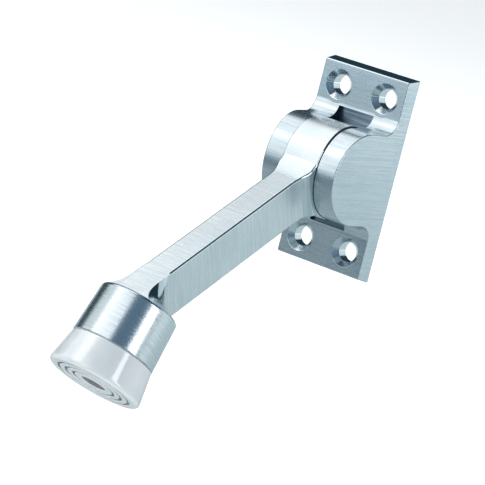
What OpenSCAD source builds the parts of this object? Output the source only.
// Kick-down floor door holder.
// +Z is up and +Y points into the door. X runs across the base.
// The origin is the centre of the base's flat back, which lies on the door.
// The arm is drawn part way down, and it turns about X in the base's slot.

/* [Base plate] */
// Width of the base at the door
plate_w = 28.2; // [27:0.1:31]
// Height of the base at the door
plate_h = 57; // [55:0.5:62]
// Thickness of the plate
plate_t = 5; // [4.6:0.1:5.6]
// Slope of the side faces, in mm for each mm of depth
side_slope = 0.1; // [0.02:0.01:0.11]
// Slope of the top and bottom faces, in mm for each mm of depth
end_slope = 0.18; // [0:0.01:0.2]

/* [Mounting holes] */
// Distance between the holes across the base
hole_dx = 15; // [14.5:0.1:16]
// Distance between the holes up the base
hole_dz = 43.2; // [43:0.1:46]
// Diameter of the holes
hole_d = 5.5; // [4.5:0.1:5.6]
// Diameter of the countersinks at the face
sink_d = 8.4; // [7:0.1:8.6]
// Depth of the countersinks
sink_depth = 1.6; // [1:0.1:2.2]

/* [Barrel and slot] */
// Distance of the pivot from the door
pivot_out = 14.3; // [14.2:0.1:16]
// Radius of the barrel that holds the pivot
barrel_r = 12.7; // [12.2:0.1:13]
// Radius of the fillets between barrel and plate
web_fillet = 4.4; // [3.4:0.1:4.4]
// Width of the slot for the arm
slot_w = 11.4; // [11.2:0.1:12]
// Full height of the slot, which ends in the fillets
slot_h = 32.4; // [30:0.2:34]
// Depth of the slot's floor below the plate's face
slot_sunk = 1.2; // [0.4:0.1:1.8]

/* [Arm] */
// Radius of the round hub
hub_r = 13.1; // [12.8:0.1:13.2]
// Gap between the hub and each wall of the slot
side_gap = 0.15; // [0.1:0.05:0.3]
// Length from the pivot to the middle of the foot cup's rim
arm_len = 78; // [66:1:110]
// Width of the bar
bar_w = 8.2; // [7.6:0.1:9.4]
// Height of the bar
bar_h = 12.7; // [11.6:0.1:13]
// Angle of the bar below level
arm_droop = 27.5; // [-20:0.5:45]
// Bend between the bar and the foot
foot_bend = 33; // [25:0.5:38]

/* [Foot] */
// Radius of the cup at its rim
cup_r_top = 10.6; // [10.2:0.1:11]
// Radius of the cup at its open end
cup_r_end = 11.2; // [11:0.1:11.6]
// Length of the cup
cup_len = 14; // [13:0.5:17]
// Radius of the rubber at the floor
shoe_r = 12.7; // [12.4:0.1:13.6]
// Length of rubber below the cup
shoe_len = 9.2; // [8.5:0.1:12]

/* [Pivot pin and spring] */
// Diameter of the pivot pin
pin_d = 5; // [4:0.5:6]
// Width of the leaf spring
spring_w = 9.6; // [8:0.1:10]
// Thickness of the leaf spring
spring_t = 0.7; // [0.5:0.05:0.75]

/* [Hidden] */
$fn = 96;

// Base
face_depth = 40;
pocket_h = 20.4;
recess_depth = 2;
recess_h = 27;
groove_h = 30;
groove_back = 1;
pin_tip_x = 9.5;
pin_hole_x = 9.8;

// Arm
hub_w = slot_w - 2 * side_gap;
pin_clearance = 0.05;
root_fillet = 14;
root_end = 17;
flare_r = 15;
flare_end = 19.5;
bar_overrun = 8;
foot_sink = 2;
neck_h = 9.6;
neck_r = bar_w / 2 + 0.05;
neck_fillet = 12;
neck_shift = 1.5;
neck_foot_r = neck_r + neck_fillet - sqrt(pow(neck_fillet, 2) - pow(neck_h, 2));
rim_round = 1;

// Foot
socket_r = 8.6;
socket_depth = 8;
stem_gap = 0.1;
shoe_round = 1.2;
groove_radii = [5.6, 7.7, 9.8];
ring_w = 0.7;
ring_depth = 0.9;
well_r = 3.3;
well_depth = 5.5;
washer_r = 3.2;
washer_t = 0.7;
floor_z = -cup_len - shoe_len;
washer_z = floor_z + well_depth - washer_t;
screw_r = 1.75;
screw_hole_r = 1.95;
screw_hole_depth = 8.4;
screw_len = 19;
head_r = 2.8;
head_t = 2;
drive_w = 0.8;
drive_len = 3.2;
drive_depth = 1.1;

// Leaf spring: a shallow arc that the hub bends towards the door
hub_back = pivot_out - hub_r;
spring_gap = 0.1;
spring_bow = recess_depth - hub_back + spring_gap;
spring_h = groove_h - 0.4;
spring_arc_r = (pow(spring_h / 2, 2) + pow(spring_bow, 2)) / (2 * spring_bow);

// Extrudes a shape drawn with Y to the right and Z up
module across(width) {
    rotate([90, 0, 90]) linear_extrude(width, center = true) children();
}

// Places the arm's own frame, with the bar along -Y, at the pivot
module at_pivot() {
    translate([0, -pivot_out, 0]) rotate([arm_droop, 0, 0]) children();
}

// Places the foot's own frame, with the floor side along -Z, at the cup's rim
module at_foot() {
    translate([0, -arm_len, 0]) rotate([foot_bend - 90, 0, 0]) children();
}

// Fills the corner right of and above the origin with a concave arc
module corner_fillet(r) {
    difference() {
        square(r);
        translate([r, r]) circle(r);
    }
}

// Side view of the base: drafted plate, barrel and the fillets between them
module base_side_view() {
    half = plate_h / 2;
    face_half = half - end_slope * plate_t;
    polygon([[0, -half], [0, half], [-plate_t, face_half], [-plate_t, -face_half]]);
    translate([-pivot_out, 0]) circle(barrel_r);
    translate([-pivot_out, -barrel_r]) square([pivot_out, 2 * barrel_r]);
    for (side = [0, 1])
        mirror([0, side])
            translate([-plate_t, barrel_r]) mirror([1, 0]) corner_fillet(web_fillet);
}

// Plan view of the base: the side faces lean in away from the door
module base_plan_view() {
    half = plate_w / 2;
    front_half = half - side_slope * face_depth;
    polygon([[-half, 0], [half, 0], [front_half, -face_depth], [-front_half, -face_depth]]);
}

module countersunk_hole() {
    slope = (sink_d - hole_d) / 2 / sink_depth;
    translate([0, 1, 0]) rotate([90, 0, 0]) cylinder(h = plate_t + 2, d = hole_d);
    translate([0, sink_depth - plate_t, 0]) rotate([90, 0, 0])
        cylinder(h = sink_depth + 1, r1 = hole_d / 2, r2 = sink_d / 2 + slope);
}

module base() {
    color([0.72, 0.76, 0.8]) difference() {
        intersection() {
            across(plate_w + 2) base_side_view();
            linear_extrude(plate_h + 2, center = true) base_plan_view();
        }
        // Slot between the ears, sunk a little into the plate
        translate([-slot_w / 2, -face_depth, -slot_h / 2])
            cube([slot_w, face_depth - plate_t + slot_sunk, slot_h]);
        // Pocket behind the hub
        translate([-slot_w / 2, -plate_t - 1, -pocket_h / 2])
            cube([slot_w, plate_t + 2, pocket_h]);
        // Recess for the spring, and the grooves that keep its ends
        translate([-slot_w / 2, -recess_depth, -recess_h / 2])
            cube([slot_w, recess_depth + 1, recess_h]);
        translate([-slot_w / 2, -recess_depth, -groove_h / 2])
            cube([slot_w, recess_depth - groove_back, groove_h]);
        for (sx = [-1, 1], sz = [-1, 1])
            translate([sx * hole_dx / 2, 0, sz * hole_dz / 2]) countersunk_hole();
        // Pin hole, through the left ear and blind in the right one
        translate([-plate_w, -pivot_out, 0]) rotate([0, 90, 0])
            cylinder(h = plate_w + pin_hole_x, d = pin_d);
    }
}

// Side view of the bar, with fillets where it runs into the hub
module bar_side_view() {
    translate([-arm_len - bar_overrun, -bar_h / 2]) square([arm_len + bar_overrun, bar_h]);
    for (side = [0, 1])
        mirror([0, side]) difference() {
            translate([-root_end, 0]) square([root_end, bar_h / 2 + root_fillet / 3]);
            translate([-root_end, bar_h / 2 + root_fillet]) circle(root_fillet);
        }
}

// Plan view of the bar, which widens to the hub
module bar_plan_view() {
    flare_w = (hub_w - bar_w) / 2;
    flare_len = sqrt(pow(flare_r, 2) - pow(flare_r - flare_w, 2));
    translate([-bar_w / 2, -arm_len - bar_overrun]) square([bar_w, arm_len + bar_overrun]);
    translate([-hub_w / 2, flare_len - flare_end]) square([hub_w, flare_end - flare_len]);
    for (side = [0, 1])
        mirror([side, 0]) difference() {
            translate([0, -flare_end]) square([hub_w / 2, flare_end]);
            translate([bar_w / 2 + flare_r, -flare_end]) circle(flare_r);
        }
}

module bar() {
    difference() {
        intersection() {
            // The root stays inside the hub's round, so it starts at the pivot
            across(hub_w) intersection() {
                bar_side_view();
                union() {
                    circle(hub_r);
                    translate([-arm_len - bar_overrun, -hub_r])
                        square([arm_len + bar_overrun - bar_h / 2, 2 * hub_r]);
                }
            }
            linear_extrude(2 * hub_r, center = true) bar_plan_view();
        }
        at_foot() translate([-20, -20, -40 - foot_sink]) cube([40, 40, 40]);
        // The bar's upper corners are hollowed out above the cup
        at_foot() difference() {
            translate([-bar_w, -2 * bar_h - neck_shift, 0]) cube([2 * bar_w, 2 * bar_h, neck_h]);
            neck();
        }
    }
}

// Flared neck above the cup, in the foot's frame
module neck() {
    translate([0, -neck_shift, 0]) rotate_extrude() difference() {
        square([neck_foot_r, neck_h]);
        translate([neck_r + neck_fillet, neck_h]) circle(neck_fillet);
    }
}

// The neck, cut level with the bar's top and bottom
module trimmed_neck() {
    intersection() {
        at_foot() neck();
        across(3 * neck_foot_r) translate([-arm_len - 3 * bar_h, -bar_h / 2])
            square([6 * bar_h, bar_h]);
    }
}

// Half section of the cup, turned about its axis
module cup_section() {
    polygon([
        [0, 0], [cup_r_top - rim_round, 0], [cup_r_top, -rim_round],
        [cup_r_end, -cup_len], [0, -cup_len]
    ]);
    translate([cup_r_top - rim_round, -rim_round]) circle(rim_round);
}

module arm() {
    color([0.8, 0.83, 0.86]) at_pivot() difference() {
        union() {
            across(hub_w) circle(hub_r);
            bar();
            trimmed_neck();
            at_foot() rotate_extrude() cup_section();
        }
        rotate([0, 90, 0]) cylinder(h = 2 * hub_w, r = pin_d / 2 + pin_clearance, center = true);
        at_foot() {
            translate([0, 0, -cup_len - 1]) cylinder(h = socket_depth + 1, r = socket_r);
            translate([0, 0, -cup_len]) cylinder(h = socket_depth + screw_hole_depth, r = screw_r);
        }
    }
}

module pivot_pin() {
    chamfer = 0.4;
    pin_end = plate_w / 2 - side_slope * pivot_out - 0.3;
    color([0.62, 0.64, 0.67]) translate([-pin_end, -pivot_out, 0]) rotate([0, 90, 0]) {
        cylinder(h = chamfer, r1 = pin_d / 2 - chamfer, r2 = pin_d / 2);
        translate([0, 0, chamfer]) cylinder(h = pin_end + pin_tip_x - 2 * chamfer, d = pin_d);
        translate([0, 0, pin_end + pin_tip_x - chamfer])
            cylinder(h = chamfer, r1 = pin_d / 2, r2 = pin_d / 2 - chamfer);
    }
}

module leaf_spring() {
    color([0.2, 0.26, 0.36]) intersection() {
        across(spring_w) translate([-spring_arc_r - recess_depth + spring_bow, 0]) difference() {
            circle(spring_arc_r + spring_t, $fn = 720);
            circle(spring_arc_r, $fn = 720);
        }
        translate([-spring_w, -recess_depth, -spring_h / 2])
            cube([2 * spring_w, recess_depth, spring_h]);
    }
}

// Points along an arc about a centre, from one angle to another
function arc(centre, r, from, to, steps = 8) = [
    for (i = [0:steps]) let (a = from + (to - from) * i / steps)
        centre + r * [cos(a), sin(a)]
];

// Half section of the rubber shoe, turned about its axis
module shoe_section() {
    stem_r = socket_r - stem_gap;
    polygon(concat(
        [[0, socket_depth - cup_len], [stem_r, socket_depth - cup_len], [stem_r, -cup_len]],
        [[cup_r_end, -cup_len]],
        arc([shoe_r - shoe_round, floor_z + shoe_round], shoe_round, 0, -90),
        [[0, floor_z]]
    ));
}

module rubber_shoe() {
    color([0.86, 0.87, 0.88]) at_pivot() at_foot() difference() {
        rotate_extrude() shoe_section();
        translate([0, 0, floor_z - 1]) cylinder(h = 2 * cup_len, r = screw_hole_r);
        translate([0, 0, floor_z - 1]) cylinder(h = well_depth + 1, r = well_r);
        for (r = groove_radii)
            translate([0, 0, floor_z - 1]) difference() {
                cylinder(h = ring_depth + 1, r = r + ring_w / 2);
                cylinder(h = ring_depth + 1, r = r - ring_w / 2);
            }
    }
}

module shoe_washer() {
    color([0.66, 0.68, 0.7]) at_pivot() at_foot()
        translate([0, 0, washer_z]) difference() {
            cylinder(h = washer_t, r = washer_r);
            translate([0, 0, -1]) cylinder(h = washer_t + 2, r = screw_hole_r);
        }
}

module shoe_screw() {
    color([0.6, 0.62, 0.65]) at_pivot() at_foot() difference() {
        union() {
            translate([0, 0, washer_z - head_t]) cylinder(h = head_t, r = head_r);
            translate([0, 0, washer_z - head_t]) cylinder(h = screw_len + head_t, r = screw_r);
        }
        for (turn = [0, 90])
            rotate([0, 0, turn]) translate([0, 0, washer_z - head_t])
                cube([drive_len, drive_w, 2 * drive_depth], center = true);
    }
}

base();
arm();
pivot_pin();
leaf_spring();
rubber_shoe();
shoe_washer();
shoe_screw();
